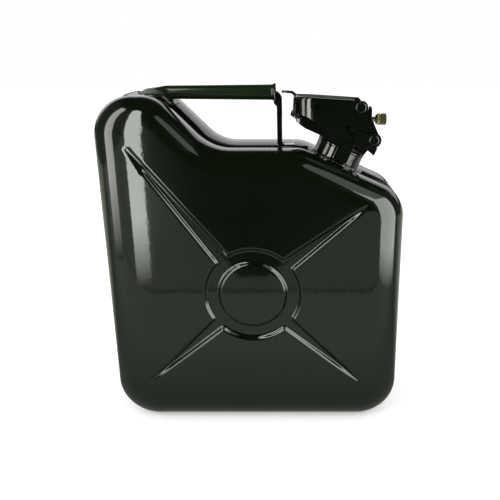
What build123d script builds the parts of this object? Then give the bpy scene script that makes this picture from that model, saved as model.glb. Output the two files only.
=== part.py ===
from build123d import *
import math
import os

os.makedirs("parts", exist_ok=True)

# Pressed-steel fuel can of about five litres, in millimetres.
# X runs from the back (hump) to the filler side, Y across the can, +Z up.
# The origin is the middle of the footprint, on the surface the can stands on.

# ---------------------------------------------------------------- can body
HALF_W = 124.0          # half the body's width along X
HALF_D = 53.0           # half the body's depth along Y
SHEET = 1.0             # sheet thickness
EDGE_R = 25.0           # rounding between the broad face and the side walls
SHOULDER_Y = 24.0       # the side walls slope down to the seam from here
SEAM_DIP = 5.6          # how far the walls are drawn in at the seam
SEAM_LIP = 0.0          # the flange ends level with the side outline ...
HUMP_LIP = 2.2          # ... and stands proud of it over the hump
FLANGE_T = 1.0          # one flange; the seam is two of them back to back
FOOT_CLEAR = 0.8        # the seam flange ends this far above the ground
NOTCH_Z = 239.2         # level part under the grip
HUMP_Z = 280.5          # top of the hump
SLOPE = math.radians(24.0)      # the filler side slopes down by this much
SLOPE_X = 40.5          # where the slope leaves the level part
CORNERS = [             # side outline: x, z, corner radius
    (-HALF_W, 0.0, 33.0),
    (HALF_W, 0.0, 33.0),
    (HALF_W, NOTCH_Z - (HALF_W - SLOPE_X) * math.tan(SLOPE), 28.0),
    (SLOPE_X, NOTCH_Z, 30.0),
    (-32.0, NOTCH_Z, 36.0),
    (-73.8, HUMP_Z, 30.0),
    (-HALF_W, HUMP_Z, 32.0),
]

# pressed grooves of the broad face
RING_Z = 122.3
RING_OUT, RING_IN = 40.7, 25.5
GROOVE_D = 3.0
RIB_W, RIB_TIP_W = 11.4, 7.2    # width at the ring and at the outer end
RIB_ENDS = [((0.0, 122.3), (-93.5, 243.5)), ((0.0, 126.0), (91.5, 196.5)),
            ((0.0, 122.3), (89.5, 42.5)), ((0.0, 122.3), (-89.5, 42.5))]

# ---------------------------------------------------------------- filler
NECK_O = (75.2, 240.0)  # a point on the filler's axis, at the lid's lower edge
NECK_R, NECK_WALL = 20.3, 1.3
NECK_BOTTOM, NECK_TOP = -24.5, -2.1
MOUTH_R = 15.5
CU, CN = math.cos(SLOPE), math.sin(SLOPE)


def w(u, n):
    """Point of the filler's own frame (u down the slope, n up its axis) in X, Z."""
    return (NECK_O[0] + u * CU + n * CN, NECK_O[1] - u * CN + n * CU)


PIVOT = (86.8, 271.0)   # lever pivot, X and Z
HINGE_UN = (19.0, 14.0)
HINGE = w(*HINGE_UN)    # lid hinge
LUG_UN = (-1.5, 14.25)
LUG = w(*LUG_UN)        # fixed lug that the lever hooks under
PIVOT_R, HINGE_R, LUG_R = 3.0, 2.5, 2.0
RUN = 0.08              # radial running clearance
LEVER_PER_LID = 0.8     # the lever turns this many degrees for one of the lid
LID_MAX = 110.0

YOKE_IN, YOKE_OUT = 22.6, 24.0
EAR_IN, EAR_OUT = 24.8, 26.6
CHEEK_IN, CHEEK_OUT = 27.2, 28.7


# ---------------------------------------------------------------- helpers
def outline(off=0.0, corners=CORNERS):
    """Rounded side outline, grown outwards by off, as a closed list of edges in X, Z."""
    n = len(corners)
    pts = [(c[0], c[1]) for c in corners]
    lines = []
    for i in range(n):
        (x0, z0), (x1, z1) = pts[i], pts[(i + 1) % n]
        length = math.hypot(x1 - x0, z1 - z0)
        dx, dz = (x1 - x0) / length, (z1 - z0) / length
        lines.append(((x0 + dz * off, z0 - dx * off), (dx, dz)))
    made = []
    for i in range(n):
        (p, d), (q, e) = lines[i - 1], lines[i]
        cross = d[0] * e[1] - d[1] * e[0]
        t = ((q[0] - p[0]) * e[1] - (q[1] - p[1]) * e[0]) / cross
        corner = (p[0] + d[0] * t, p[1] + d[1] * t)
        r = corners[i][2] + (off if cross > 0 else -off)
        half = math.atan2(abs(cross), d[0] * e[0] + d[1] * e[1]) / 2
        tan = r * math.tan(half)
        a = (corner[0] - d[0] * tan, corner[1] - d[1] * tan)
        b = (corner[0] + e[0] * tan, corner[1] + e[1] * tan)
        side = 1 if cross > 0 else -1
        centre = (a[0] - d[1] * r * side, a[1] + d[0] * r * side)
        mx, mz = corner[0] - centre[0], corner[1] - centre[1]
        m = math.hypot(mx, mz)
        made.append((a, (centre[0] + mx / m * r, centre[1] + mz / m * r), b))
    edges = []
    for i in range(n):
        a, m, b = made[i]
        edges.append(ThreePointArc(a, m, b))
        edges.append(Line(b, made[(i + 1) % n][0]))
    return edges


def side_face(off=0.0, corners=CORNERS):
    """The outline as a face in the XZ plane; a positive extrusion goes to -Y."""
    return Plane.XZ * make_face(Curve() + outline(off, corners))


def poly(points):
    return Plane.XZ * make_face(Polyline(*points, close=True))


def disc(x, z, r):
    return Plane.XZ * (Pos(x, z) * Circle(r))


def across(face, y0, y1):
    """face, drawn in X and Z, made solid from y0 to y1."""
    return Pos(0, y1, 0) * extrude(face, amount=y1 - y0)


def both(face, y_in, y_out):
    """The same plate on each side of the middle plane."""
    return across(face, y_in, y_out) + across(face, -y_out, -y_in)


def axis_plane(u, n):
    """Plane across the filler's axis: local x is u, local z is n."""
    x, z = w(u, n)
    return Plane(origin=(x, 0, z), x_dir=(CU, 0, -CN), z_dir=(CN, 0, CU))


def ring(r0, r1, n0, n1):
    at = axis_plane(0, n0)
    made = extrude(at * Circle(r1), amount=n1 - n0)
    return made - extrude(at * Circle(r0), amount=n1 - n0) if r0 else made


def pin_y(x, z, r, y0, y1):
    return across(disc(x, z, r), y0, y1)


def rivet_y(x, z, r, half, head_r, head_h):
    """A pin along Y with a domed head on each end; half is where the heads start."""
    made = pin_y(x, z, r, -half, half)
    for s in (1, -1):
        head = extrude(Plane(origin=(x, s * half, z), x_dir=(1, 0, 0), z_dir=(0, s, 0)) * Circle(head_r), amount=head_h)
        edge = head.faces().sort_by(Axis.Y)[-1 if s > 0 else 0].edges()
        made += fillet(edge, head_h * 0.7)
    return made


def hull2(p, q, r):
    """A slot from p to q in X, Z."""
    length = math.hypot(q[0] - p[0], q[1] - p[1])
    if length < 1e-6:
        return disc(p[0], p[1], r)
    angle = math.degrees(math.atan2(q[1] - p[1], q[0] - p[0]))
    flat = Pos((p[0] + q[0]) / 2, (p[1] + q[1]) / 2) * Rot(0, 0, angle) * SlotCenterToCenter(length, 2 * r)
    return Plane.XZ * flat


def turned(p, c, deg):
    """p turned about c, clockwise seen from -Y."""
    a = math.radians(deg)
    x, z = p[0] - c[0], p[1] - c[1]
    return (c[0] + x * math.cos(a) + z * math.sin(a), c[1] - x * math.sin(a) + z * math.cos(a))


def save(shape, name):
    solids = shape.solids()
    made = solids[0] if len(solids) == 1 else Compound(children=list(solids))
    export_step(made, f"parts/{name}.step")
    print(name, len(solids), round(sum(s.volume for s in solids)))


# ---------------------------------------------------------------- half shells
def pressed(t):
    """Solid of the near half, its skin moved inwards by t, down to the seam plane."""
    seam, shoulder = side_face(-SEAM_DIP - t, CORNERS), Pos(0, -SHOULDER_Y, 0) * side_face(-t)
    dip = loft([seam.faces()[0], shoulder.faces()[0]], ruled=True)
    deep = Pos(0, -SHOULDER_Y, 0) * extrude(side_face(-t), amount=HALF_D - SHOULDER_Y - t)
    deep = fillet(deep.faces().sort_by(Axis.Y)[0].edges(), EDGE_R - t)
    made = dip + deep
    grow = t * math.tan(math.radians(22.5))
    y = -HALF_D + t
    # X ribs, sunk into the face with sloping sides
    for (x0, z0), (x1, z1) in RIB_ENDS:
        length = math.hypot(x1 - x0, z1 - z0)
        dx, dz = (x1 - x0) / length, (z1 - z0) / length
        a, b = RIB_W / 2 + grow, RIB_TIP_W / 2 + grow
        px, pz = x0 + dx * 20, z0 + dz * 20
        rib = Polyline((px - dz * a, pz + dx * a), (px + dz * a, pz - dx * a), (x1 + dz * b, z1 - dx * b), (x1 - dz * b, z1 + dx * b), close=True)
        flat = make_face(rib) + Pos(x1, z1) * Circle(b)
        at = Plane(origin=(0, y, 0), x_dir=(1, 0, 0), z_dir=(0, -1, 0))
        made -= extrude(at * flat, amount=-GROOVE_D, taper=45)
    # ring groove round the middle boss
    r0, r1 = RING_IN - grow, RING_OUT + grow
    section = Plane(origin=(0, 0, RING_Z), x_dir=(1, 0, 0), z_dir=(0, 0, 1)) * make_face(
        Polyline((r0 - 1, y - 1), (r1 + 1, y - 1), (r1 - GROOVE_D, y + GROOVE_D), (r0 + GROOVE_D, y + GROOVE_D), close=True))
    made -= revolve(section, Axis((0, 0, RING_Z), (0, 1, 0)), 360)
    # the middle boss stands level with the face
    boss = Plane(origin=(0, 0, RING_Z), x_dir=(1, 0, 0), z_dir=(0, 0, 1)) * make_face(
        Polyline((0, y), (r0, y), (r0 + GROOVE_D, y + GROOVE_D), (r0 + GROOVE_D, y + GROOVE_D + 2), (0, y + GROOVE_D + 2), close=True))
    made += revolve(boss, Axis((0, 0, RING_Z), (0, 1, 0)), 360)
    return made


lip = [(x, z - (1.5 if z == NOTCH_Z else 0.0) + (HUMP_LIP if z == HUMP_Z else 0.0), r) for x, z, r in CORNERS]
flange = extrude(side_face(SEAM_LIP, lip) - side_face(-SEAM_DIP - SHEET - 0.01), amount=FLANGE_T)
flange -= Pos(0, 0, FOOT_CLEAR - 50) * Box(400, 20, 100)
flange -= ring(0, 25.0, -30, 10)                                  # no flange round the filler
# cut back under the grip's rear tab and under the leg's foot
flange -= Pos(-78.0, 0, 275.0) * Box(30.0, 20, 30.0) - Pos(0, 20, 0) * extrude(side_face(0.0), amount=40)
near = pressed(0) - pressed(SHEET)
near = near + flange
near -= ring(0, NECK_R + 0.05, -40, 10)
far = mirror(near, about=Plane.XZ)
save(near, "near_half_shell")
save(far, "far_half_shell")

# ---------------------------------------------------------------- grip
GRIP_Z = 281.4
GRIP_X0, GRIP_X1 = -72.0, 14.0
GRIP_R0, GRIP_R1 = 5.4, 6.2
GRIP_T = 1.1


def cone_x(x0, r0, x1, r1):
    a = Plane(origin=(x0, 0, GRIP_Z), x_dir=(0, 1, 0), z_dir=(1, 0, 0))
    b = Plane(origin=(x1, 0, GRIP_Z), x_dir=(0, 1, 0), z_dir=(1, 0, 0))
    return loft([(a * Circle(r0)).faces()[0], (b * Circle(r1)).faces()[0]], ruled=True)


grip = cone_x(GRIP_X0, GRIP_R0, GRIP_X1, GRIP_R1)
flare = [(GRIP_X1, GRIP_R1), (16.0, 6.4), (17.6, 7.3), (18.6, 7.4)]
for (xa, ra), (xb, rb) in zip(flare, flare[1:]):
    grip += cone_x(xa, ra, xb, rb)
bore = cone_x(GRIP_X0, GRIP_R0 - GRIP_T, GRIP_X1, GRIP_R1 - GRIP_T)
for (xa, ra), (xb, rb) in zip(flare, flare[1:]):
    bore += cone_x(xa, ra - GRIP_T, xb, rb - GRIP_T)
# rear end pressed flat, turned down over the hump and lying along its front slope
a = Plane(origin=(GRIP_X0, 0, GRIP_Z), x_dir=(0, 1, 0), z_dir=(1, 0, 0)) * Circle(GRIP_R0)
b = Plane(origin=(-84.0, 0, 283.3), x_dir=(0, 1, 0), z_dir=(math.cos(math.radians(12)), 0, -math.sin(math.radians(12)))) * SlotOverall(20.0, 3.2)
pinch = loft([b.faces()[0], a.faces()[0]], ruled=True)
TAB_Y = 10.0
d45 = math.radians(45.4)
sx, sz = math.cos(d45), -math.sin(d45)      # down the hump's front slope
nx, nz = math.sin(d45), math.cos(d45)
foot0 = (-75.6, 282.6)
tab_run = poly([(-91.0, 279.0), (-78.5, 278.6), (-73.2, 277.3), (-73.2 + 10.5 * sx, 277.3 + 10.5 * sz),
                (-73.2 + 10.5 * sx + 4.0 * nx, 277.3 + 10.5 * sz + 4.0 * nz), (-73.4 + 1.2 * nx, 281.0 + 1.2 * nz), (-78.0, 283.6),
                (-84.2, 285.0), (-88.5, 283.2), (-91.0, 282.2)])
tab = across(tab_run, -TAB_Y, TAB_Y)
# keep the tab just clear of the two half shells
clear = Pos(0, 20, 0) * extrude(side_face(0.05), amount=40)
grip = grip - bore + pinch + tab - clear
save(grip, "handle_grip")

# front leg: a channel strap that hangs from inside the grip's open end and stands on the can's top
LEG_Y = 4.3
LEG_T = 1.5
leg_side = Plane.XZ * make_face(
    Curve() + [
        Line((-4.0, 283.4), (15.5, 283.4)),
        ThreePointArc((15.5, 283.4), (15.5 + 8.2 * math.sin(math.radians(45)), 275.2 + 8.2 * math.cos(math.radians(45))), (23.7, 275.2)),
        Line((23.7, 275.2), (23.7, 241.6)),
        ThreePointArc((23.7, 241.6), (24.43, 239.85), (26.2, 239.1)),
        Line((26.2, 239.1), (34.0, 239.1)), Line((34.0, 239.1), (34.0, 237.75)), Line((34.0, 237.75), (21.6, 237.75)),
        Line((21.6, 237.75), (19.6, 239.8)), Line((19.6, 239.8), (19.6, 270.0)), Line((19.6, 270.0), (17.2, 272.6)),
        Line((17.2, 272.6), (17.2, 276.4)), Line((17.2, 276.4), (13.0, 279.2)), Line((13.0, 279.2), (-4.0, 279.2)), Line((-4.0, 279.2), (-4.0, 283.4))])
leg = across(leg_side, -LEG_Y, LEG_Y)
hollow = Plane.XZ * make_face(
    Curve() + [
        Line((-5.0, 283.4 - LEG_T), (15.5, 283.4 - LEG_T)),
        ThreePointArc((15.5, 283.4 - LEG_T), (15.5 + 6.7 * math.sin(math.radians(45)), 275.2 + 6.7 * math.cos(math.radians(45))), (22.2, 275.2)),
        Line((22.2, 275.2), (22.2, 239.3)), Line((22.2, 239.3), (10.0, 239.3)), Line((10.0, 239.3), (10.0, 272.0)), Line((10.0, 272.0), (-5.0, 272.0)),
        Line((-5.0, 272.0), (-5.0, 283.4 - LEG_T))])
leg -= across(hollow, -LEG_Y + LEG_T, LEG_Y - LEG_T)
# a foot across the seam
foot = Pos(28.0, 0, 238.43) * Box(12.0, 12.0, 1.36)
leg = leg + foot - grip
leg = max(leg.solids(), key=lambda v: v.volume)
save(leg, "handle_front_leg")

# weld beads of the grip's tab and of the leg's foot, each resting on both half shells
beads = []
for y in (-TAB_Y - 1.1, TAB_Y + 1.1):
    beads.append(Pos(-71.2, y, 273.6) * Rot(0, 45.4, 0) * Box(12.0, 2.2, 8.2))
tab_weld = beads[0] + beads[1]
tab_weld = tab_weld - grip - near - far
save(Compound(children=sorted(tab_weld.solids(), key=lambda v: -v.volume)[:2]), "grip_tab_weld")
foot_weld = (Pos(28.0, -4.6, 235.3) * Box(10.0, 3.2, 6.0)) + (Pos(28.0, 4.6, 235.3) * Box(10.0, 3.2, 6.0))
foot_weld = foot_weld - leg - near - far
save(Compound(children=sorted(foot_weld.solids(), key=lambda v: -v.volume)[:2]), "leg_foot_weld")

# ---------------------------------------------------------------- filler neck
neck = ring(NECK_R - NECK_WALL, NECK_R, NECK_BOTTOM, NECK_TOP - 1.5)
lip = ring(MOUTH_R, NECK_R + 0.5, NECK_TOP - 2.6, NECK_TOP)
lip = fillet(lip.edges().filter_by(GeomType.CIRCLE).sort_by(lambda e: -e.radius)[:2], 1.1)
lip -= ring(MOUTH_R + 1.3, NECK_R - NECK_WALL, NECK_TOP - 3.0, NECK_TOP - 1.3)
neck = neck + lip
save(neck, "filler_neck")
neck_weld = ring(NECK_R, NECK_R + 2.6, -23.0, -13.6)
top_edge = neck_weld.edges().filter_by(GeomType.CIRCLE).sort_by(lambda e: e.radius + 10 * (e.center().Z))[-1]
neck_weld = chamfer(top_edge, 1.9) - near - far
neck_weld -= ring(0, NECK_R, -40, 10)
save(Compound(children=[max(neck_weld.solids(), key=lambda s: s.volume)]), "neck_weld")

# vent pipe: from below the reach of a spout, down the neck and back along the tank's top
VENT_R, VENT_BORE = 3.6, 2.8
v0, v1 = w(-14.6, -20.5), w(-14.6, -24.0)
v2 = (v1[0] - 6.5, v1[1] - 3.0)
down = Vector(v1[0] - v0[0], 0, v1[1] - v0[1]).normalized()
path = FilletPolyline((v0[0], 0, v0[1]), (v1[0] + down.X * 6, 0, v1[1] + down.Z * 6), (v1[0] - 52.0, 0, v1[1] - 12.0 + 7.0), radius=11.0)
start = Plane(origin=(v0[0], 0, v0[1]), x_dir=(0, 1, 0), z_dir=(down.X, 0, down.Z))
vent = sweep(start * Circle(VENT_R), path=path) - sweep(start * Circle(VENT_BORE), path=path)
save(vent, "vent_pipe")

# ---------------------------------------------------------------- lug bracket on the neck
strap = poly([w(-5.3, -12.5), w(6.5, -12.5), w(6.5, 4.0), w(13.5, 4.0), w(19.0, 8.0), w(19.0, 20.0), w(8.0, 15.5), w(-5.3, 14.25)])
strap = strap + disc(*w(-1.5, 14.25), 3.9) + disc(*HINGE, 6.0)
bracket = both(strap, EAR_IN, EAR_OUT)
for s in (1, -1):
    # foot of each strap, turned in to the neck
    foot = extrude(axis_plane(0.6, -12.5) * (Pos(0, s * (NECK_R - 3.0 + EAR_OUT) / 2) * Rectangle(11.8, EAR_OUT - NECK_R + 3.0)), amount=1.8)
    bracket += foot - ring(0, NECK_R, -20, 0)
web = extrude(axis_plane(23.5, 3.0) * Rectangle(1.5, 2 * EAR_OUT), amount=6.0)
web_tie = both(poly([w(16.0, 5.0), w(24.25, 3.0), w(24.25, 9.0), w(22.0, 12.0)]), EAR_IN, EAR_OUT)
bracket = bracket + web + web_tie
bracket -= pin_y(*HINGE, HINGE_R, -40, 40)
bracket -= pin_y(*LUG, LUG_R, -40, 40)
save(bracket, "neck_bracket")
lugs = pin_y(*LUG, LUG_R, EAR_IN, 29.5) + pin_y(*LUG, LUG_R, -29.5, -EAR_IN)
save(lugs, "lug_studs")
save(rivet_y(*HINGE, HINGE_R, EAR_OUT, 4.2, 1.7), "hinge_pin")

# ---------------------------------------------------------------- lid and its yoke
wall = Plane.XZ * make_face(Polyline(
    w(-49.6, 3.1), w(-35.3, 0.0), w(17.0, 0.0), w(19.0, 8.0), w(24.6, 16.1), w(2.0, 36.0), w(-6.0, 36.5), w(-14.5, 22.0), w(-31.0, 10.5), w(-44.0, 4.2), close=True))
wall = wall + disc(*HINGE, 6.0) + disc(*PIVOT, 5.0)
trim = disc(*PIVOT, 5.0)
cut = poly([w(-40, 30), w(-10, 60), w(40, 60), (PIVOT[0] + 4.0, PIVOT[1] + 3.0), (PIVOT[0], PIVOT[1] + 4.6), (PIVOT[0] - 4.6, PIVOT[1] + 1.6), (PIVOT[0] - 5.0, PIVOT[1] - 4.0), w(-16.0, 23.0)])
wall = (wall - cut) + trim
walls = both(wall, YOKE_IN, YOKE_OUT)
floor_side = poly([w(-50.4, 2.9), w(-35.3, 0.0), w(17.5, 0.0), w(17.5, 1.4), w(-35.0, 1.4), w(-50.1, 4.4)])
floor_up = Pos(1.5 * CN, 0, 1.5 * CU) * floor_side
floor = across(floor_up, -YOKE_OUT, YOKE_OUT)
yoke = walls + floor
# the thumb lip narrows to a rounded front
plan = Plane(origin=(w(0, 30)[0], 0, w(0, 30)[1]), x_dir=(CU, 0, -CN), z_dir=(CN, 0, CU))
keep = plan * (Pos(-8.0, 0) * RectangleRounded(90.0, 2 * YOKE_OUT, 15.0))
yoke = yoke & extrude(keep, amount=60, both=True)
# back plate with a rounded tab that carries the locking pin
LOCK_Z = 259.5
BACK_X = 96.6
tab_face = Plane(origin=(BACK_X, 0, LOCK_Z), x_dir=(0, 1, 0), z_dir=(1, 0, 0)) * (
    (Pos(0, -3.6) * Rectangle(2 * YOKE_IN + 1.4, 6.2)) + (Pos(0, 2.4) * Rectangle(16.0, 9.0)) + (Pos(0, 3.4) * RectangleRounded(16.0, 14.0, 5.5)))
back = extrude(tab_face, amount=1.5)
yoke += back
LOCK_R = 2.0
yoke -= Pos(BACK_X, 0, LOCK_Z) * Rot(0, 90, 0) * Cylinder(LOCK_R + RUN, 8)
yoke -= pin_y(*HINGE, HINGE_R + RUN, -40, 40)
yoke -= pin_y(*PIVOT, PIVOT_R, -40, 40)
yoke -= ring(0, 2.5, -5, 8)
save(yoke, "lid_yoke")

LID_R = 18.8
lid = ring(0, LID_R, 0.2, 1.45)
lid = fillet(lid.edges().filter_by(GeomType.CIRCLE).sort_by(lambda e: e.center().Z)[-1:], 0.9)
rim = ring(LID_R - 1.2, LID_R, -0.9, 0.3)
lid = lid + rim - ring(0, 2.5, -5, 8)
save(lid, "lid_disc")
save(ring(13.2, LID_R - 1.25, -1.9, 0.2), "lid_gasket")
save(ring(2.5, 13.1, -1.5, 0.2), "gasket_retainer")
stem = ring(0, 2.5, -1.5, 2.9)
stem += fillet(ring(0, 4.4, -2.0, -1.5).edges().filter_by(GeomType.CIRCLE).sort_by(lambda e: e.center().Z)[:1], 0.3)
stem += fillet(ring(0, 4.8, 2.9, 4.6).edges().filter_by(GeomType.CIRCLE).sort_by(lambda e: e.center().Z)[-1:], 1.1)
save(stem, "lid_rivet")
save(rivet_y(*PIVOT, PIVOT_R, CHEEK_OUT + 0.1, 4.4, 1.7), "lever_rivet")
spacer = pin_y(*PIVOT, 5.0, YOKE_OUT, CHEEK_IN - 0.1) + pin_y(*PIVOT, 5.0, -(CHEEK_IN - 0.1), -YOKE_OUT)
save(spacer - pin_y(*PIVOT, PIVOT_R, -40, 40), "lever_spacers")

# ---------------------------------------------------------------- lever
LEVER_T = 1.5
LEVER_TILT = math.radians(3.6)
LX, LZ = 35.8, 279.4     # a point on the lever's top face
la = Plane(origin=(LX, 0, LZ), x_dir=(math.cos(LEVER_TILT), 0, -math.sin(LEVER_TILT)), z_dir=(math.sin(LEVER_TILT), 0, math.cos(LEVER_TILT)))
NOSE = -2.2
LONG = 62.0


def hood(t, top):
    flat = Pos(NOSE + LONG / 2 + t / 2, 0) * RectangleRounded(LONG - t, 2 * (CHEEK_OUT - t), 19.0 - t)
    flat += Pos(NOSE + LONG - 10, 0) * Rectangle(30, 2 * (CHEEK_OUT - t))
    return Pos(0, 0, 0) * extrude(la * flat, amount=-60) if not top else extrude(la.offset(-LEVER_T) * flat, amount=-60)


shell = hood(0, False)
edge = [e for e in shell.edges() if abs(la.to_local_coords(e.center()).Z) < 0.01]
shell = fillet([e for e in edge if la.to_local_coords(e.center()).X < 55], 2.2)
shell = shell - hood(LEVER_T, True)
ARC = [(PIVOT[0] + 5.7 * math.cos(math.radians(a)), PIVOT[1] + 5.7 * math.sin(math.radians(a))) for a in (100, 75, 50, 25, 0)]
cheek = poly([(20, 300), (81.5, 300), (81.5, 276.7)] + ARC + [(91.4, 256.0), (88.6, 254.6), (86.0, 254.4), (84.6, 250.0), (83.2, 246.9), (77.5, 245.6), (72.5, 243.4), (70.0, 240.6), (67.6, 241.0),
             (57.0, 252.3), (51.5, 258.6), (46.0, 263.0), (39.4, 265.2), (33.0, 266.6), (20, 267.2)])
lever = shell & across(cheek, -40, 40)
# between the cheeks the top ends ahead of the pivot
lever -= Pos(82.0 + 10, 0, 270) * Box(20, 2 * CHEEK_IN, 60)
path_pts = []
for i in range(0, 17):
    phi = i * 2.5
    p = turned(LUG, HINGE, -phi)
    path_pts.append(turned(p, PIVOT, -phi * LEVER_PER_LID))
start_back = turned(path_pts[0], PIVOT, 9.0)
slot = hull2(start_back, path_pts[0], LUG_R + 0.35)
for p, q in zip(path_pts, path_pts[1:]):
    slot += hull2(p, q, LUG_R + 0.35)
lever -= both(slot, CHEEK_IN - 1, CHEEK_OUT + 1)
# thumb tab: a step up from the nose
tab_pts = [(-12.2, 2.6), (-3.4, 2.6), (0.4, 0.0), (3.0, 0.0), (3.0, -1.5), (-0.6, -1.5), (-4.0, 1.2), (-12.2, 1.2)]
tab_world = [(LX + x * math.cos(LEVER_TILT) + z * math.sin(LEVER_TILT), LZ - x * math.sin(LEVER_TILT) + z * math.cos(LEVER_TILT)) for x, z in tab_pts]
thumb = across(poly(tab_world), -9.0, 9.0)
thumb = thumb & extrude(la.offset(-6) * (Pos(-4.0, 0) * RectangleRounded(16.6, 18.0, 4.5)), amount=12)
lever += thumb
# lock tongue, bent down from the top between the yoke's walls
tongue = Plane(origin=(82.0, 0, 266.0), x_dir=(0, 1, 0), z_dir=(1, 0, 0)) * (Pos(0, -0.4) * RectangleRounded(12.0, 21.0, 3.0))
tongue = extrude(tongue, amount=-1.5)
lever += tongue - Pos(80, 0, LOCK_Z) * Rot(0, 90, 0) * Cylinder(LOCK_R + 0.3, 12)
lever -= pin_y(*PIVOT, PIVOT_R + RUN, -40, 40)
EYE = (53.0, 271.4)
lever -= pin_y(*EYE, 2.4, -40, 40)
save(lever, "lever")
eyelet = pin_y(*EYE, 2.4, -CHEEK_OUT, CHEEK_OUT)
for s in (1, -1):
    flangelet = pin_y(*EYE, 3.4, min(s * CHEEK_OUT, s * (CHEEK_OUT + 0.7)), max(s * CHEEK_OUT, s * (CHEEK_OUT + 0.7)))
    eyelet += flangelet
eyelet -= pin_y(*EYE, 1.7, CHEEK_OUT - 2.5, 40) + pin_y(*EYE, 1.7, -40, 2.5 - CHEEK_OUT)     # hollow ends only
save(eyelet, "lever_cross_tube")

# ---------------------------------------------------------------- locking pin
PIN_TIP = 83.0
KNOB_X0, KNOB_X1 = 101.9, 110.9
KNOB_R = 4.7
shank = Pos((PIN_TIP + KNOB_X0 + 4) / 2, 0, LOCK_Z) * Rot(0, 90, 0) * Cylinder(LOCK_R, KNOB_X0 + 4 - PIN_TIP)
shank = chamfer(shank.edges().filter_by(GeomType.CIRCLE).sort_by(Axis.X)[0], 0.6)
save(shank, "locking_pin")
knob = Pos((KNOB_X0 + KNOB_X1) / 2, 0, LOCK_Z) * Rot(0, 90, 0) * Cylinder(KNOB_R, KNOB_X1 - KNOB_X0)
knob = chamfer(knob.edges().filter_by(GeomType.CIRCLE), 0.6)
for i in range(16):
    a = math.radians(i * 22.5)
    knob -= Pos((KNOB_X0 + KNOB_X1) / 2 + 0.8, KNOB_R * math.cos(a), LOCK_Z + KNOB_R * math.sin(a)) * Rot(0, 90, 0) * Cylinder(0.35, 6.0)
knob -= Pos((KNOB_X0 + 4) / 2, 0, LOCK_Z) * Rot(0, 90, 0) * Cylinder(LOCK_R, KNOB_X0 + 4)
save(knob, "locking_pin_knob")
# it sits ahead of the back plate by the pin's travel and stops the pin there
PIN_TRAVEL = 8.0
CLIP_X = BACK_X - PIN_TRAVEL - 0.8
clip = Pos(CLIP_X, 0, LOCK_Z) * Rot(0, 90, 0) * (Cylinder(3.6, 0.8) - Cylinder(LOCK_R, 0.8))
clip -= Pos(CLIP_X, 0, LOCK_Z - 3.0) * Box(2, 1.8, 6.0)
save(clip, "locking_pin_clip")
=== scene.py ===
import math

import bmesh
import bpy
import numpy as np
from mathutils import Matrix, Vector


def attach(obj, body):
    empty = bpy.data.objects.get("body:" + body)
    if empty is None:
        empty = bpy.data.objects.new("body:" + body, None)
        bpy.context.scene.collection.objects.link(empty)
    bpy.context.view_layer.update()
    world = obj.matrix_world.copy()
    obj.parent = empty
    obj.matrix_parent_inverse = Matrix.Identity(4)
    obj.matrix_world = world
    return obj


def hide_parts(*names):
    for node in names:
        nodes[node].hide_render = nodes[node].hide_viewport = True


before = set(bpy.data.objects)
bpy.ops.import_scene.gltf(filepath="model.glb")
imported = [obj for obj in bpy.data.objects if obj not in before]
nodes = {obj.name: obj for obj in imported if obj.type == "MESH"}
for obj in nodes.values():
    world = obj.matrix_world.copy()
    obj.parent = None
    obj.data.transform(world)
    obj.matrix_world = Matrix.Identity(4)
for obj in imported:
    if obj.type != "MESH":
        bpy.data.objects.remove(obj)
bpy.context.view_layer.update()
scene = bpy.context.scene

# ------------------------------------------------------------------ sizes, in millimetres
HALF_W, HALF_D, SHEET = 124.0, 53.0, 1.0
NOTCH_Z, HUMP_Z, SLOPE_X = 239.2, 280.5, 40.5
TILT = math.radians(24.0)
CU, CN = math.cos(TILT), math.sin(TILT)
DIP = 5.6
CREST_Y = 27.0
CORNERS = [(-HALF_W, 0.0, 33.0), (HALF_W, 0.0, 33.0), (HALF_W, NOTCH_Z - (HALF_W - SLOPE_X) * math.tan(TILT), 28.0),
           (SLOPE_X, NOTCH_Z, 30.0), (-32.0, NOTCH_Z, 36.0), (-73.8, HUMP_Z, 30.0), (-HALF_W, HUMP_Z, 32.0)]
INSET = [30.0, 29.0, 21.0, 21.0, 18.0, 23.0, 42.0]      # how far the rolled edge reaches in over the broad face
INNER_R = [22.0, 20.0, 11.0, 14.0, 54.0, 5.0, 4.0]
RING = (0.0, 122.3)
RIBS = [((0.0, 122.3), (-92.5, 241.5), 7.4, 3.0), ((0.0, 126.0), (91.0, 196.4), 7.0, 2.2),
        ((0.0, 122.3), (90.5, 41.6), 7.0, 2.2), ((0.0, 122.3), (-90.5, 41.6), 7.0, 2.2)]
GROOVE = 3.0
NECK_O = (75.2, 240.0)
NECK_R = 20.3


def w(u, n):
    return (NECK_O[0] + u * CU + n * CN, NECK_O[1] - u * CN + n * CU)


HINGE, PIVOT, LUG = w(19.0, 14.0), (86.8, 271.0), w(-1.5, 14.25)


def s3(t):
    t = np.clip(t, 0.0, 1.0)
    return t * t * t * (t * (6 * t - 15) + 10)


# ------------------------------------------------------------------ mesh helpers
def new_mesh(name, verts, faces, body, material, smooth=True, replaces=(), slot=None):
    """verts in millimetres."""
    me = bpy.data.meshes.new(name)
    me.from_pydata((np.asarray(verts, float) * 0.001).tolist(), [], [tuple(int(i) for i in f) for f in faces])
    me.validate()
    me.update()
    ob = bpy.data.objects.new(name, me)
    scene.collection.objects.link(ob)
    if smooth:
        me.polygons.foreach_set("use_smooth", [True] * len(me.polygons))
    if material:
        me.materials.append(material)
    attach(ob, body)
    if replaces:
        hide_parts(*replaces)
    return ob


def grid_faces(rows, cols, closed=True, base=0):
    out = []
    for r in range(rows - 1):
        for c in range(cols if closed else cols - 1):
            d = (c + 1) % cols
            out.append((base + r * cols + c, base + r * cols + d, base + (r + 1) * cols + d, base + (r + 1) * cols + c))
    return out


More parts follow.
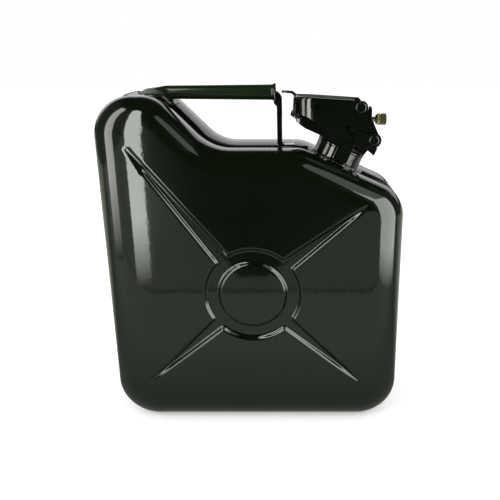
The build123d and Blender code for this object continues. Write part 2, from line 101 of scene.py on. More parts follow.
def loft(name, sections, body, material, cap=(True, True), flip=False, **kw):
    """sections: list of (n, 3) arrays, in order along the piece; closed round each section."""
    n = len(sections[0])
    verts = np.concatenate(sections)
    faces = grid_faces(len(sections), n)
    if cap[0]:
        faces.append(tuple(range(n))[::-1])
    if cap[1]:
        faces.append(tuple(range((len(sections) - 1) * n, len(sections) * n)))
    if flip:
        faces = [f[::-1] for f in faces]
    ob = new_mesh(name, verts, faces, body, material, **kw)
    fix_normals(ob)
    return ob


def fix_normals(ob):
    bm = bmesh.new()
    bm.from_mesh(ob.data)
    bmesh.ops.recalc_face_normals(bm, faces=bm.faces)
    bm.to_mesh(ob.data)
    bm.free()


def sharp(ob, deg=35.0):
    me = ob.data
    me.polygons.foreach_set("use_smooth", [True] * len(me.polygons))
    me.set_sharp_from_angle(angle=math.radians(deg))


def revolve(name, profile, origin, axis, body, material, seg=96, closed=True, **kw):
    """profile: list of (radius, height) round the axis, in millimetres."""
    ax = Vector(axis).normalized()
    side = Vector((0, 1, 0)) if abs(ax.y) < 0.9 else Vector((1, 0, 0))
    e1 = side.cross(ax).normalized()
    e2 = ax.cross(e1)
    verts, n = [], len(profile)
    for i in range(seg):
        a = 2 * math.pi * i / seg
        d = e1 * math.cos(a) + e2 * math.sin(a)
        for r, h in profile:
            verts.append(tuple(Vector(origin) + d * r + ax * h))
    faces = []
    for i in range(seg):
        j = (i + 1) % seg
        for k in range(n if closed else n - 1):
            m = (k + 1) % n
            faces.append((i * n + k, j * n + k, j * n + m, i * n + m))
    ob = new_mesh(name, verts, faces, body, material, **kw)
    bm = bmesh.new()
    bm.from_mesh(ob.data)
    bmesh.ops.remove_doubles(bm, verts=bm.verts, dist=2e-6)
    bmesh.ops.recalc_face_normals(bm, faces=bm.faces)
    bm.to_mesh(ob.data)
    bm.free()
    sharp(ob)
    return ob


# ------------------------------------------------------------------ materials
def node_material(name):
    m = bpy.data.materials.new(name)
    m.use_nodes = True
    nt = m.node_tree
    return m, nt, nt.nodes["Principled BSDF"]


def enamel(name, color, dark, rough=(0.16, 0.26), coat=1.0, coat_rough=0.03, peel=0.35, peel_scale=170.0, wave=0.25, grime=0.35, spec=0.04):
    """Glossy baked enamel: clear top, faint orange peel, slow waviness of the sheet, fine specks of dust."""
    m, nt, b = node_material(name)
    L = nt.links.new
    tc = nt.nodes.new("ShaderNodeTexCoord")
    cloud = nt.nodes.new("ShaderNodeTexNoise")
    cloud.inputs["Scale"].default_value = 14.0
    cloud.inputs["Detail"].default_value = 5.0
    L(tc.outputs["Object"], cloud.inputs["Vector"])
    ramp = nt.nodes.new("ShaderNodeValToRGB")
    ramp.color_ramp.elements[0].position = 0.35
    ramp.color_ramp.elements[0].color = (*dark, 1)
    ramp.color_ramp.elements[1].position = 0.68
    ramp.color_ramp.elements[1].color = (*color, 1)
    L(cloud.outputs["Fac"], ramp.inputs["Fac"])
    fine = nt.nodes.new("ShaderNodeTexNoise")
    fine.inputs["Scale"].default_value = 900.0
    fine.inputs["Detail"].default_value = 2.0
    L(tc.outputs["Object"], fine.inputs["Vector"])
    dust = nt.nodes.new("ShaderNodeMapRange")
    dust.inputs["From Min"].default_value = 0.66
    dust.inputs["From Max"].default_value = 0.8
    dust.inputs["To Min"].default_value = 0.0
    dust.inputs["To Max"].default_value = grime * 0.25
    L(fine.outputs["Fac"], dust.inputs["Value"])
    mix = nt.nodes.new("ShaderNodeMix")
    mix.data_type = "RGBA"
    mix.inputs["B"].default_value = (0.05, 0.055, 0.04, 1)
    L(dust.outputs["Result"], mix.inputs["Factor"])
    L(ramp.outputs["Color"], mix.inputs["A"])
    L(mix.outputs["Result"], b.inputs["Base Color"])
    rr = nt.nodes.new("ShaderNodeMapRange")
    rr.inputs["From Min"].default_value = 0.3
    rr.inputs["From Max"].default_value = 0.7
    rr.inputs["To Min"].default_value = rough[0]
    rr.inputs["To Max"].default_value = rough[1]
    L(cloud.outputs["Fac"], rr.inputs["Value"])
    L(rr.outputs["Result"], b.inputs["Roughness"])
    p = nt.nodes.new("ShaderNodeTexNoise")
    p.inputs["Scale"].default_value = peel_scale
    p.inputs["Detail"].default_value = 1.5
    p.inputs["Roughness"].default_value = 0.45
    L(tc.outputs["Object"], p.inputs["Vector"])
    wv = nt.nodes.new("ShaderNodeTexNoise")
    wv.inputs["Scale"].default_value = 16.0
    wv.inputs["Detail"].default_value = 1.0
    L(tc.outputs["Object"], wv.inputs["Vector"])
    b1 = nt.nodes.new("ShaderNodeBump")
    b1.inputs["Strength"].default_value = wave
    b1.inputs["Distance"].default_value = 0.0015
    L(wv.outputs["Fac"], b1.inputs["Height"])
    b2 = nt.nodes.new("ShaderNodeBump")
    b2.inputs["Strength"].default_value = peel
    b2.inputs["Distance"].default_value = 0.00012
    L(p.outputs["Fac"], b2.inputs["Height"])
    L(b1.outputs["Normal"], b2.inputs["Normal"])
    L(b2.outputs["Normal"], b.inputs["Normal"])
    L(b2.outputs["Normal"], b.inputs["Coat Normal"])
    b.inputs["Specular IOR Level"].default_value = spec
    b.inputs["Coat Weight"].default_value = coat
    b.inputs["Coat Roughness"].default_value = coat_rough
    b.inputs["Coat IOR"].default_value = 1.5
    return m


def metal(name, color, rough=(0.2, 0.38), grain=(300.0, 300.0, 1800.0), bump=0.2, tarnish=(0.2, 0.18, 0.12)):
    m, nt, b = node_material(name)
    L = nt.links.new
    tc = nt.nodes.new("ShaderNodeTexCoord")
    mp = nt.nodes.new("ShaderNodeMapping")
    mp.inputs["Scale"].default_value = grain
    L(tc.outputs["Object"], mp.inputs["Vector"])
    n = nt.nodes.new("ShaderNodeTexNoise")
    n.inputs["Scale"].default_value = 1.0
    n.inputs["Detail"].default_value = 4.0
    L(mp.outputs["Vector"], n.inputs["Vector"])
    c = nt.nodes.new("ShaderNodeTexNoise")
    c.inputs["Scale"].default_value = 120.0
    c.inputs["Detail"].default_value = 4.0
    L(tc.outputs["Object"], c.inputs["Vector"])
    ramp = nt.nodes.new("ShaderNodeValToRGB")
    ramp.color_ramp.elements[0].position = 0.4
    ramp.color_ramp.elements[0].color = (*color, 1)
    ramp.color_ramp.elements[1].position = 0.75
    ramp.color_ramp.elements[1].color = (*tarnish, 1)
    L(c.outputs["Fac"], ramp.inputs["Fac"])
    L(ramp.outputs["Color"], b.inputs["Base Color"])
    rr = nt.nodes.new("ShaderNodeMapRange")
    rr.inputs["To Min"].default_value = rough[0]
    rr.inputs["To Max"].default_value = rough[1]
    L(n.outputs["Fac"], rr.inputs["Value"])
    L(rr.outputs["Result"], b.inputs["Roughness"])
    bp = nt.nodes.new("ShaderNodeBump")
    bp.inputs["Strength"].default_value = bump
    bp.inputs["Distance"].default_value = 0.0001
    L(n.outputs["Fac"], bp.inputs["Height"])
    L(bp.outputs["Normal"], b.inputs["Normal"])
    b.inputs["Metallic"].default_value = 1.0
    return m


PAINT = enamel("enamel_green", (0.0024, 0.0044, 0.0015), (0.0017, 0.0034, 0.0011), coat_rough=0.055, peel=0.16, peel_scale=420.0, wave=0.07)
GRIP_PAINT = enamel("enamel_green_handle", (0.0062, 0.0125, 0.0040), (0.0045, 0.0095, 0.0028), rough=(0.3, 0.42), coat=0.5, coat_rough=0.12, wave=0.05, peel=0.3)
DARK = enamel("enamel_closure", (0.0024, 0.0036, 0.0019), (0.0016, 0.0026, 0.0012), rough=(0.2, 0.34), coat=1.0, coat_rough=0.07, peel=0.5, peel_scale=260.0, wave=0.12, grime=0.5)
STEEL = metal("plated_steel", (0.55, 0.53, 0.47))
BRASS = metal("olive_brass", (0.20, 0.19, 0.085), rough=(0.28, 0.45), tarnish=(0.10, 0.11, 0.05))


def rubber():
    m, nt, b = node_material("seal_rubber")
    L = nt.links.new
    tc = nt.nodes.new("ShaderNodeTexCoord")
    n = nt.nodes.new("ShaderNodeTexNoise")
    n.inputs["Scale"].default_value = 500.0
    n.inputs["Detail"].default_value = 6.0
    L(tc.outputs["Object"], n.inputs["Vector"])
    ramp = nt.nodes.new("ShaderNodeValToRGB")
    ramp.color_ramp.elements[0].color = (0.012, 0.012, 0.011, 1)
    ramp.color_ramp.elements[1].color = (0.03, 0.029, 0.027, 1)
    L(n.outputs["Fac"], ramp.inputs["Fac"])
    L(ramp.outputs["Color"], b.inputs["Base Color"])
    bp = nt.nodes.new("ShaderNodeBump")
    bp.inputs["Strength"].default_value = 0.3
    bp.inputs["Distance"].default_value = 0.0002
    L(n.outputs["Fac"], bp.inputs["Height"])
    L(bp.outputs["Normal"], b.inputs["Normal"])
    b.inputs["Roughness"].default_value = 0.7
    return m


RUBBER = rubber()


# ------------------------------------------------------------------ half shells
def sampled(corners, inset=None, radii=None, n_arc=400, n_line=700):
    """Fine closed polyline of a rounded outline: points, outward normals."""
    n = len(corners)
    pts = [(c[0], c[1]) for c in corners]
    inset = inset or [0.0] * n
    radii = radii or [c[2] for c in corners]
    lines = []
    for i in range(n):
        (x0, z0), (x1, z1) = pts[i], pts[(i + 1) % n]
        length = math.hypot(x1 - x0, z1 - z0)
        dx, dz = (x1 - x0) / length, (z1 - z0) / length
        lines.append(((x0 - dz * inset[i], z0 + dx * inset[i]), (dx, dz)))
    arcs = []
    for i in range(n):
        (p, d), (q, e) = lines[i - 1], lines[i]
        cross = d[0] * e[1] - d[1] * e[0]
        t = ((q[0] - p[0]) * e[1] - (q[1] - p[1]) * e[0]) / cross
        corner = (p[0] + d[0] * t, p[1] + d[1] * t)
        r = radii[i]
        turn = math.atan2(abs(cross), d[0] * e[0] + d[1] * e[1])
        tan = r * math.tan(turn / 2)
        a = (corner[0] - d[0] * tan, corner[1] - d[1] * tan)
        side = 1 if cross > 0 else -1
        c = (a[0] - d[1] * r * side, a[1] + d[0] * r * side)
        start = math.atan2(a[1] - c[1], a[0] - c[0])
        ang = start + side * turn * np.arange(n_arc) / n_arc
        arcs.append((np.stack([c[0] + r * np.cos(ang), c[1] + r * np.sin(ang)], 1), side * np.stack([np.cos(ang), np.sin(ang)], 1),
                     (corner[0] + e[0] * tan, corner[1] + e[1] * tan), (e[1], -e[0])))
    P, N = [], []
    for i in range(n):
        pa, na, b, ne = arcs[i]
        P.append(pa)
        N.append(na)
        nxt = arcs[(i + 1) % n][0][0]
        t = np.arange(n_line)[:, None] / n_line
        P.append(np.array(b)[None] * (1 - t) + nxt[None] * t)
        N.append(np.repeat(np.array(ne)[None], n_line, 0))
    return np.concatenate(P), np.concatenate(N)


def groove_depth(x, z):
    r = np.hypot(x - RING[0], z - RING[1])
    ring = s3((r - 25.2) / 4.4) * (1 - s3((r - 36.9) / 4.2))
    rib = np.zeros_like(x)
    for (x0, z0), (x1, z1), h0, h1 in RIBS:
        L = math.hypot(x1 - x0, z1 - z0)
        dx, dz = (x1 - x0) / L, (z1 - z0) / L
        u = (x - x0) * dx + (z - z0) * dz
        v = np.abs(-(x - x0) * dz + (z - z0) * dx)
        t = np.clip((u - 36.0) / (L - 36.0), 0, 1)
        h = h0 + (h1 - h0) * t
        d = np.hypot(v, np.maximum(u - L, 0.0))
        deep = 1.0 - 0.62 * s3((u - L + 30.0) / 32.0)
        side = 4.4
        one = deep * (1 - s3((d - (h - side + 0.4)) / side)) * (u > 0)
        rib = np.maximum(rib, one)
    rib = rib * s3((r - 27.0) / 4.0)
    return GROOVE * (1 - (1 - ring) * (1 - rib))


def half_shell(name, node, sign):
    P, N = sampled(CORNERS)
    Q, _ = sampled(CORNERS, INSET, INNER_R)
    dP = np.linalg.norm(np.roll(P, -1, 0) - P, axis=1)
    th = np.unwrap(np.arctan2(Q[:, 1] - RING[1], Q[:, 0] - RING[0]))
    dth = np.abs(np.roll(th, -1) - th)
    dth[-1] = abs(th[0] + 2 * math.pi - th[-1])
    rho = np.ones_like(th)
    for (x0, z0), (x1, z1), _, _ in RIBS:
        a = math.atan2(z1 - RING[1], x1 - RING[0])
        diff = (th - a + math.pi) % (2 * math.pi) - math.pi
        rho = rho + 4.2 * np.exp(-(diff / math.radians(8.0)) ** 2)
    turn = np.arccos(np.clip((N * np.roll(N, -1, 0)).sum(1), -1, 1))
    dens = dP / 3.2 + rho * dth / math.radians(1.15) + turn / math.radians(4.0)
    cum = np.concatenate([[0], np.cumsum(dens)])
    n = int(cum[-1])
    want = (np.arange(n) + 0.5) * cum[-1] / n
    idx = np.interp(want, cum, np.arange(len(cum)))

    def at(A):
        A = np.concatenate([A, A[:1]])
        k = np.floor(idx).astype(int)
        f = (idx - k)[:, None]
        return A[k] * (1 - f) + A[np.minimum(k + 1, len(A) - 1)] * f

    p, nn, q = at(P), at(N), at(Q)
    nn = nn / np.linalg.norm(nn, axis=1)[:, None]
    # how far the flange stands out along the outline
    x, z = p[:, 0], p[:, 1]
    lip = np.where(z < 40, -0.85 * (1 - s3((z - 5) / 30.0)), 0.0)
    lip = lip + 2.1 * s3((z - 262.0) / 16.0) * (x < -60) - 1.4 * s3((x + 52.0) / 20.0) * (1 - s3((x - 38.0) / 8.0)) * (z > 150)
    under = s3((x + 94.0) / 2.0) * (1 - s3((x + 62.0) / 2.0)) * (z > 250)
    lip = lip * (1 - under)
    un = (x - NECK_O[0]) * CU - (z - NECK_O[1]) * CN
    near_neck = (1 - s3((np.abs(un) - 23.0) / 3.0)) * (z > 180)
    lip = lip * (1 - near_neck) + (-DIP + 0.6) * near_neck
    Y, OFF, KIND = [], [], []
    rows, inner = [], []

    def station(off, y, ioff=None, iy=None, mix=0.0):
        c = p + nn * np.asarray(off).reshape(-1, 1)
        if mix:
            c = p * (1 - mix) + q * mix
        rows.append(np.stack([c[:, 0], np.full(n, -y) if np.isscalar(y) else -y, c[:, 1]], 1))
        if ioff is not None:
            ci = p + nn * np.asarray(ioff).reshape(-1, 1)
            inner.append(np.stack([ci[:, 0], np.full(n, -iy), ci[:, 1]], 1))
        else:
            inner.append(None)

    base = np.full(n, -DIP)
    hgt = np.maximum(lip - base, 0.05)
    station(lip, 0.0, lip, 0.0)
    for f, y in ((0.06, 0.42), (0.22, 0.78), (0.5, 0.97)):
        station(lip - np.minimum(f, hgt * 0.5), y, lip - f * np.minimum(1.0, hgt) * 1.5, 0.0)
    for f in (0.35, 0.7):
        station(lip - 0.5 - (hgt - 1.6) * f, 1.0, lip - 0.9 - hgt * f, 0.0)
    for f, y in ((0.95, 1.04), (0.45, 1.35), (0.16, 1.9)):
        station(base + np.minimum(f, hgt), y, base - 1.0 + f * 0.1 - 0.02 * y, 0.0)
    for y in np.linspace(3.0, CREST_Y, 15):
        t = (CREST_Y - y) / CREST_Y
        station(np.full(n, -DIP * (0.62 * t ** 1.6 + 0.38 * t ** 2.6)) - 0.02, y)
    for k in range(1, 37):
        a = math.pi / 2 * k / 36
        e = 2 / 2.12
        station(np.zeros(n), CREST_Y + (HALF_D - CREST_Y) * math.sin(a) ** e, mix=1 - math.cos(a) ** e if k < 36 else 1.0)
    ang = np.arctan2(q[:, 1] - RING[1], q[:, 0] - RING[0])
    circle = np.stack([RING[0] + 46 * np.cos(ang), RING[1] + 46 * np.sin(ang)], 1)
    radial = []
    m = 30
    for k in range(1, m + 1):
        f = k / m
        radial.append(q * (1 - f) + circle * f)
    for r in np.concatenate([np.arange(45.2, 23.5, -0.8), np.array([21.0, 17.0, 12.0, 7.0, 3.0])]):
        radial.append(np.stack([RING[0] + r * np.cos(ang), RING[1] + r * np.sin(ang)], 1))
    for c in radial:
        y = HALF_D - groove_depth(c[:, 0], c[:, 1])
        station(0.0, 0.0)
        rows[-1] = np.stack([c[:, 0], -y, c[:, 1]], 1)
    rows_a = np.stack(rows)
    S = len(rows)
    # the fillet stations next to the grooves' ends follow the grooves too
    first = 24
    for s in range(first, first + 36):
        g = groove_depth(rows_a[s, :, 0], rows_a[s, :, 2])
        rows_a[s, :, 1] += g * s3((-(rows_a[s, :, 1]) - 40.0) / 12.0)
    outer = rows_a.reshape(-1, 3)
    pole = np.array([[RING[0], -HALF_D, RING[1]]])
    faces = np.array(grid_faces(S, n))
    fan = [(S * n - n + c, S * n - n + (c + 1) % n, S * n) for c in range(n)]
    V = np.concatenate([outer, pole])
    # vertex normals of the outer skin
    tri = np.concatenate([faces[:, [0, 1, 2]], faces[:, [0, 2, 3]], np.array(fan)])
    fn = np.cross(V[tri[:, 1]] - V[tri[:, 0]], V[tri[:, 2]] - V[tri[:, 0]])
    vn = np.zeros_like(V)
    for k in range(3):
        np.add.at(vn, tri[:, k], fn)
    vn /= np.maximum(np.linalg.norm(vn, axis=1), 1e-12)[:, None]
    if vn[-1, 1] > 0:
        vn = -vn
    vn[(V[:, 1] < -HALF_D + 0.6) & (vn[:, 1] > -0.2)] = (0, -1, 0)
    W = V - vn * SHEET
    for s in range(S):
        if inner[s] is not None:
            W[s * n:(s + 1) * n] = inner[s]
    W[:, 1] = np.minimum(W[:, 1], 0.0)
    # opening for the neck
    ax = np.array([CN, 0, CU])
    rel = V - np.array([NECK_O[0], 0, NECK_O[1]])
    h = rel @ ax
    perp = rel - h[:, None] * ax
    dist = np.linalg.norm(perp, axis=1)
    inside = (dist < NECK_R + 0.1) & (h < 0) & (h > -40)
    quads = [f for f in faces.tolist() if not all(inside[i] for i in f)]
    used = np.zeros(len(V), bool)
    used[np.array(quads).ravel()] = True
    snap = np.where(inside & used)[0]
    V[snap] += perp[snap] / np.maximum(dist[snap], 1e-6)[:, None] * (NECK_R + 0.1 - dist[snap])[:, None]
    # the wall's inner skin, hole rim and all
    nv = len(V)
    link = np.arange(nv) + nv
    link[:n] = np.arange(n)
    allf = quads + fan
    edge = {}
    for f in allf:
        k = len(f)
        for a in range(k):
            e = (f[a], f[(a + 1) % k])
            if (e[1], e[0]) in edge:
                del edge[(e[1], e[0])]
            else:
                edge[e] = True
    rim = [e for e in edge if not (e[0] < n and e[1] < n)]
    inn = [tuple(int(link[i]) for i in f[::-1]) for f in allf]
    stitch = [(b, a, int(link[a]), int(link[b])) for a, b in rim]
    stitch = [tuple(dict.fromkeys(f)) for f in stitch]
    total = allf + [tuple(dict.fromkeys(f)) for f in inn] + [f for f in stitch if len(f) > 2]
    total = [f for f in total if len(f) > 2]
    A = np.concatenate([V, W])
    if sign > 0:
        A = A * np.array([1, -1, 1])
        total = [f[::-1] for f in total]
    ob = new_mesh(name, A, total, "can", PAINT, replaces=(node,), slot="paint")
    bm = bmesh.new()
    bm.from_mesh(ob.data)
    loose = [v for v in bm.verts if not v.link_faces]
    bmesh.ops.delete(bm, geom=loose, context="VERTS")
    bmesh.ops.recalc_face_normals(bm, faces=bm.faces)
    bm.to_mesh(ob.data)
    bm.free()
    sharp(ob, 60)
    return ob


near = half_shell("shell_near", "near_half_shell", -1)
far = half_shell("shell_far", "far_half_shell", 1)


# ------------------------------------------------------------------ weld bead round the neck, rippled
def neck_bead():
    secs, n = [], 360
    for i in range(n):
        a = 2 * math.pi * i / n
        r = NECK_R + 0.55
        u, y = r * math.cos(a), r * math.sin(a)
        t = max(0.0, (CREST_Y - abs(y)) / CREST_Y)
        o = -DIP * (0.62 * t ** 1.6 + 0.38 * t ** 2.6)
        wob = math.sin(23 * a + 1.3) + 0.6 * math.sin(37 * a)
        thick = 2.15 + 0.26 * abs(math.sin(36 * a)) + 0.07 * wob
        sec = []
        for k in range(20):
            b = 2 * math.pi * k / 20
            dr, dn = thick * math.cos(b), thick * 0.95 * math.sin(b)
            rr = r + dr
            x, z = w(rr * math.cos(a), -15.2 + o + dn + 0.05 * wob)
            sec.append((x, rr * math.sin(a), z))
        secs.append(np.array(sec))
    n2 = 20
    verts = np.concatenate(secs)
    faces = []
    for i in range(n):
        j = (i + 1) % n
        for k in range(n2):
            m = (k + 1) % n2
            faces.append((i * n2 + k, j * n2 + k, j * n2 + m, i * n2 + m))
    ob = new_mesh("neck_bead", verts, faces, "can", PAINT, replaces=("neck_weld",), slot="paint")
    fix_normals(ob)


neck_bead()


def bead_pair(name, node, p0, p1, y, radius, material=PAINT):
    """Two rippled weld runs, one on each side of the seam plane, straight from p0 to p1 in X, Z."""
    (x0, z0), (x1, z1) = p0, p1
    length = math.hypot(x1 - x0, z1 - z0)
    dx, dz = (x1 - x0) / length, (z1 - z0) / length
    nx, nz = -dz, dx
    n, m = 72, 20
    verts, faces = [], []
    for side in (1, -1):
        base = len(verts)
        for i in range(n + 1):
            f = i / n
            u = f * length
            end = min(u, length - u)
            cap = math.sqrt(max(0.0, 1 - (1 - min(1.0, end / (radius * 1.1))) ** 2))
            r = radius * max(cap, 0.04) * (1 + 0.11 * abs(math.sin(math.pi * u / 0.95)) + 0.04 * math.sin(2.1 * u + side))
            for k in range(m):
                b = 2 * math.pi * k / m
                q = r * math.cos(b)
                verts.append((x0 + dx * u + nx * q, side * (y + 0.12 * math.sin(1.3 * u + side) + r * 0.95 * math.sin(b)), z0 + dz * u + nz * q))
        faces += grid_faces(n + 1, m, base=base)
        faces.append(tuple(base + k for k in range(m))[::-1])
        faces.append(tuple(base + n * m + k for k in range(m)))
    ob = new_mesh(name, verts, faces, "can", material, replaces=(node,), slot="paint")
    fix_normals(ob)


bead_pair("tab_beads", "grip_tab_weld", (-72.8, 278.9), (-65.7, 271.8), 11.0, 1.75)
bead_pair("foot_beads", "leg_foot_weld", (22.6, 237.0), (33.4, 237.0), 6.2, 1.35)


# ------------------------------------------------------------------ knurled knob of the locking pin
def knob():
    LZ, X0, X1, R = 259.5, 101.9, 110.9, 4.7
    n = 216
    th = 2 * np.pi * np.arange(n) / n
    secs = []
    for x, r, k in ((X0, 2.05, 0), (X0, 3.5, 0), (X0 + 0.15, 3.75, 0), (X0 + 1.2, 3.8, 0), (X0 + 1.3, 4.2, 0), (X0 + 1.45, R, 0.15), (X0 + 1.8, R, 1), (X0 + 3.4, R, 1), (X0 + 3.7, R - 0.1, 0.5),
                    (X0 + 3.9, R - 0.45, 0), (X0 + 4.4, R - 0.45, 0), (X0 + 4.6, R - 0.1, 0.5), (X0 + 4.9, R, 1), (X1 - 0.9, R, 1), (X1 - 0.5, R - 0.05, 0.5),
                    (X1 - 0.2, R - 0.55, 0), (X1 - 0.02, R - 1.2, 0), (X1 - 0.02, 1.6, 0), (X1 - 0.35, 1.3, 0), (X1 - 0.4, 0.3, 0)):
        rr = r - k * 0.34 * (0.5 - 0.5 * np.cos(36 * th))
        secs.append(np.stack([np.full(n, x), rr * np.cos(th), LZ + rr * np.sin(th)], 1))
    ob = loft("pin_knob", secs, "locking_pin", BRASS, replaces=("locking_pin_knob",), slot="knob")
    sharp(ob, 40)


knob()

# ------------------------------------------------------------------ CAD nodes that stay: rounded edges and paint
def dress(node, material, bevel=0.35, seg=3, angle=28.0):
    ob = nodes[node]
    ob.data.materials.clear()
    ob.data.materials.append(material)
    if bevel:
        wl = ob.modifiers.new("weld", "WELD")
        wl.merge_threshold = 1e-6
        bv = ob.modifiers.new("edges", "BEVEL")
        bv.width = bevel * 0.001
        bv.segments = seg
        bv.limit_method = "ANGLE"
        bv.angle_limit = math.radians(angle)
        bv.harden_normals = False
        bv.use_clamp_overlap = True


for node, mat, bev in (("handle_grip", GRIP_PAINT, 0.3), ("handle_front_leg", DARK, 0.35), 
                       ("filler_neck", DARK, 0.0), ("vent_pipe", STEEL, 0.2), ("neck_bracket", DARK, 0.3),
                       ("lug_studs", DARK, 0.3), ("hinge_pin", DARK, 0.3), ("lid_yoke", DARK, 0.3), ("lid_disc", DARK, 0.0),
                       ("lid_gasket", RUBBER, 0.3), ("gasket_retainer", STEEL, 0.2), ("lid_rivet", STEEL, 0.0), ("lever_rivet", DARK, 0.0),
                       ("lever_spacers", DARK, 0.3), ("lever", DARK, 0.35), ("lever_cross_tube", DARK, 0.2), ("locking_pin", STEEL, 0.0),
                       ("locking_pin_clip", STEEL, 0.1)):
    dress(node, mat, bev)

# ------------------------------------------------------------------ stage
def plane(name, corners, material, camera=True, diffuse=True, shadow=True, glossy=True):
    me = bpy.data.meshes.new(name)
    me.from_pydata([tuple(c) for c in corners], [], [(0, 1, 2, 3)])
    me.materials.append(material)
    ob = bpy.data.objects.new(name, me)
    scene.collection.objects.link(ob)
    ob.visible_camera = camera
    ob.visible_diffuse = diffuse
    ob.visible_shadow = shadow
    ob.visible_glossy = glossy
    ob.visible_transmission = False
    return ob


def glow(name, color, strength, lo=None, hi=None, axis="Z"):
    """Emission, optionally fading along one world axis from lo (dark) to hi (full)."""
    m = bpy.data.materials.new(name)
    m.use_nodes = True
    nt = m.node_tree
    nt.nodes.clear()
    out = nt.nodes.new("ShaderNodeOutputMaterial")
    em = nt.nodes.new("ShaderNodeEmission")
    em.inputs["Color"].default_value = (*color, 1)
    em.inputs["Strength"].default_value = strength
    if lo is not None:
        tc = nt.nodes.new("ShaderNodeTexCoord")
        sp = nt.nodes.new("ShaderNodeSeparateXYZ")
        mr = nt.nodes.new("ShaderNodeMapRange")
        mr.interpolation_type = "LINEAR"
        mr.inputs["From Min"].default_value = lo
        mr.inputs["From Max"].default_value = hi
        mr.inputs["To Min"].default_value = 0.0
        mr.inputs["To Max"].default_value = strength
        nt.links.new(tc.outputs["Object"], sp.inputs["Vector"])
        nt.links.new(sp.outputs[axis], mr.inputs["Value"])
        nt.links.new(mr.outputs["Result"], em.inputs["Strength"])
    nt.links.new(em.outputs["Emission"], out.inputs["Surface"])
    return m


floor_m, nt, b = node_material("pale_floor")
b.inputs["Base Color"].default_value = (0.86, 0.86, 0.86, 1)
b.inputs["Roughness"].default_value = 0.6
b.inputs["Specular IOR Level"].default_value = 0.2
b.inputs["Emission Color"].default_value = (1, 1, 1, 1)
b.inputs["Emission Strength"].default_value = 0.32
speck = nt.nodes.new("ShaderNodeTexNoise")
speck.inputs["Scale"].default_value = 40.0
fb = nt.nodes.new("ShaderNodeBump")
fb.inputs["Strength"].default_value = 0.02
nt.links.new(speck.outputs["Fac"], fb.inputs["Height"])
nt.links.new(fb.outputs["Normal"], b.inputs["Normal"])
plane("floor", [(-9, -9, 0), (9, -9, 0), (9, 9, 0), (-9, 9, 0)], floor_m, glossy=False)

black = glow("card_black", (0.010, 0.014, 0.009), 1.0)
grey = glow("card_grey", (0.60, 0.62, 0.56), 1.0)
G = dict(camera=False, diffuse=False, shadow=False)
# dark room seen in the paint: floor beyond the table's edge, the wall behind the camera and the ceiling
e = 0.343


def floor_card(name, y0, y1):
    """Floor beyond the table, greyish, a little darker far off."""
    m = bpy.data.materials.new(name)
    m.use_nodes = True
    t = m.node_tree
    t.nodes.clear()
    out = t.nodes.new("ShaderNodeOutputMaterial")
    em = t.nodes.new("ShaderNodeEmission")
    em.inputs["Color"].default_value = (0.90, 1.0, 0.84, 1)
    tc = t.nodes.new("ShaderNodeTexCoord")
    sp = t.nodes.new("ShaderNodeSeparateXYZ")
    t.links.new(tc.outputs["Object"], sp.inputs["Vector"])

    def math_node(op, a, value):
        n = t.nodes.new("ShaderNodeMath")
        n.operation = op
        t.links.new(a, n.inputs[0])
        if isinstance(value, float):
            n.inputs[1].default_value = value
        else:
            t.links.new(value, n.inputs[1])
        return n.outputs[0]

    def ramp(a, lo, hi, v0, v1):
        r = t.nodes.new("ShaderNodeMapRange")
        r.interpolation_type = "SMOOTHSTEP"
        for k, v in (("From Min", lo), ("From Max", hi), ("To Min", v0), ("To Max", v1)):
            r.inputs[k].default_value = v
        t.links.new(a, r.inputs["Value"])
        return r.outputs["Result"]

    ay = math_node("ABSOLUTE", sp.outputs["Y"], 0.0)
    lit = ramp(ay, 0.8, 3.0, 0.55, 0.40)
    t.links.new(lit, em.inputs["Strength"])
    t.links.new(em.outputs["Emission"], out.inputs["Surface"])
    return plane(name, [(-6, y0, 0.004), (6, y0, 0.004), (6, y1, 0.004), (-6, y1, 0.004)], m, **G)


floor_card("far_floor_front", -6.0, -e - 0.012)
# a dark wedge-shaped card on the floor, seen only in reflections
plane("dark_floor_wedge", [(-0.052, -0.40, 0.006), (-0.0117, -0.40, 0.006), (2.007, -5.04, 0.006), (-2.0, -5.04, 0.006)], glow("card_dark_wedge", (0.8, 1.0, 0.7), 0.03), **G)
plane("wall_back_low", [(-5, 3.0, 0), (5, 3.0, 0), (5, 3.0, 0.60), (-5, 3.0, 0.60)], black, **G)
floor_card("far_floor_back", e + 0.012, 6.0)
# the table card's glow fades towards the can along Y: a painted contact shadow, seen only in reflections
plane("table_top", [(-6, -e, 0.003), (6, -e, 0.003), (6, 0, 0.003), (-6, 0, 0.003)], glow("card_table", (0.92, 1.0, 0.86), 0.66, 0.06, -0.19, "Y"), **G)
plane("table_edge_front", [(-6, -e - 0.012, 0.004), (6, -e - 0.012, 0.004), (6, -e, 0.004), (-6, -e, 0.004)], glow("card_edge", (0.9, 1.0, 0.85), 0.16), **G)
side_m = glow("card_side", (0.9, 1.0, 0.88), 0.10)
for sx_ in (-1, 1):
    plane("wall_side_%d" % sx_, [(sx_ * 1.5, -3.2, 0), (sx_ * 1.5, 1.0, 0), (sx_ * 1.5, 1.0, 2.2), (sx_ * 1.5, -3.2, 2.2)], side_m, **G)
plane("wall_front", [(-5, -3.5, 0), (5, -3.5, 0), (5, -3.0, 4.5), (-5, -3.0, 4.5)], black, **G)
plane("ceiling", [(-4, -3.2, 2.2), (4, -3.2, 2.2), (4, 2.6, 2.2), (-4, 2.6, 2.2)], black, **G)


def card(name, az0, az1, dist, z0, z1, material, centre=(0.0, 0.0)):
    """An upright card facing the object, between two azimuths in degrees, 0 along -Y and positive to +X."""
    a0, a1 = math.radians(az0), math.radians(az1)
    p0 = (centre[0] + dist * math.sin(a0), centre[1] - dist * math.cos(a0))
    p1 = (centre[0] + dist * math.sin(a1), centre[1] - dist * math.cos(a1))
    return plane(name, [(*p0, z0), (*p1, z0), (*p1, z1), (*p0, z1)], material, **G)


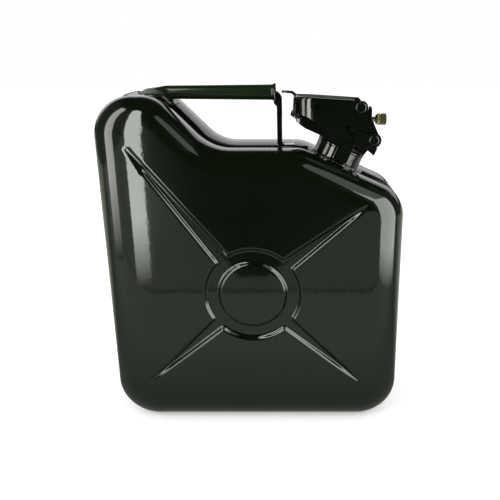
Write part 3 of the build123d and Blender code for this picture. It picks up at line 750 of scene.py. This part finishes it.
# upright softboxes left and right of the camera
card("softbox_left", -37.0, -16.6, 0.34, 0.0, 0.9, glow("box_left", (0.96, 1.0, 0.95), 10.0, 0.0, 0.10), (-0.079, -0.053))
card("softbox_left_2", -76.0, -56.0, 0.46, 0.0, 0.9, glow("box_left_2", (0.98, 1.0, 0.92), 6.0, 0.0, 0.14), (-0.105, -0.045))
# the back table card's glow fades towards the can along Y: a painted contact shadow, seen only in reflections
plane("table_top_back", [(-6, 0, 0.003), (6, 0, 0.003), (6, e, 0.003), (-6, e, 0.003)], glow("card_table_back", (0.92, 1.0, 0.86), 0.66, -0.06, 0.19, "Y"), **G)
plane("softbox_right_top", [(0.290, -0.344, 0.5), (0.455, -0.063, 0.5), (0.455, -0.063, 0.9), (0.290, -0.344, 0.9)], glow("box_right_top", (0.96, 1.0, 0.90), 1.3), **G)
plane("softbox_right", [(0.290, -0.344, 0), (0.455, -0.063, 0), (0.455, -0.063, 0.5), (0.290, -0.344, 0.5)], glow("box_right", (0.96, 1.0, 0.95), 6.0, 0.0, 0.06), **G)

w_ = scene.world or bpy.data.worlds.new("World")
scene.world = w_
w_.use_nodes = True
bg = w_.node_tree.nodes["Background"]
bg.inputs["Color"].default_value = (1, 1, 1, 1)
bg.inputs["Strength"].default_value = 1.0


def area(name, loc, target, size, power, glossy=False):
    li = bpy.data.lights.new(name, "AREA")
    li.shape = "RECTANGLE"
    li.size, li.size_y = size
    li.energy = power
    ob = bpy.data.objects.new(name, li)
    ob.location = loc
    ob.rotation_euler = (Vector(target) - Vector(loc)).to_track_quat("-Z", "Y").to_euler()
    ob.visible_glossy = glossy
    scene.collection.objects.link(ob)
    return ob


area("key", (-1.1, -1.3, 1.5), (0, 0, 0.13), (1.0, 1.0), 14.0)
area("fill", (1.3, -1.1, 1.2), (0, 0, 0.13), (1.0, 1.0), 9.0)

cam = bpy.data.cameras.new("camera")
cam.sensor_width = 36.0
cam.lens = 18.0 / math.tan(math.radians(47.64 / 2))
cam.shift_x, cam.shift_y = -0.107, -0.024
cam.clip_start = 0.01
co = bpy.data.objects.new("camera", cam)
co.location = (0.04166, -0.483, 0.303)
co.rotation_euler = (math.radians(73.0), 0, 0)
scene.collection.objects.link(co)
scene.camera = co
scene.view_settings.view_transform = "Standard"
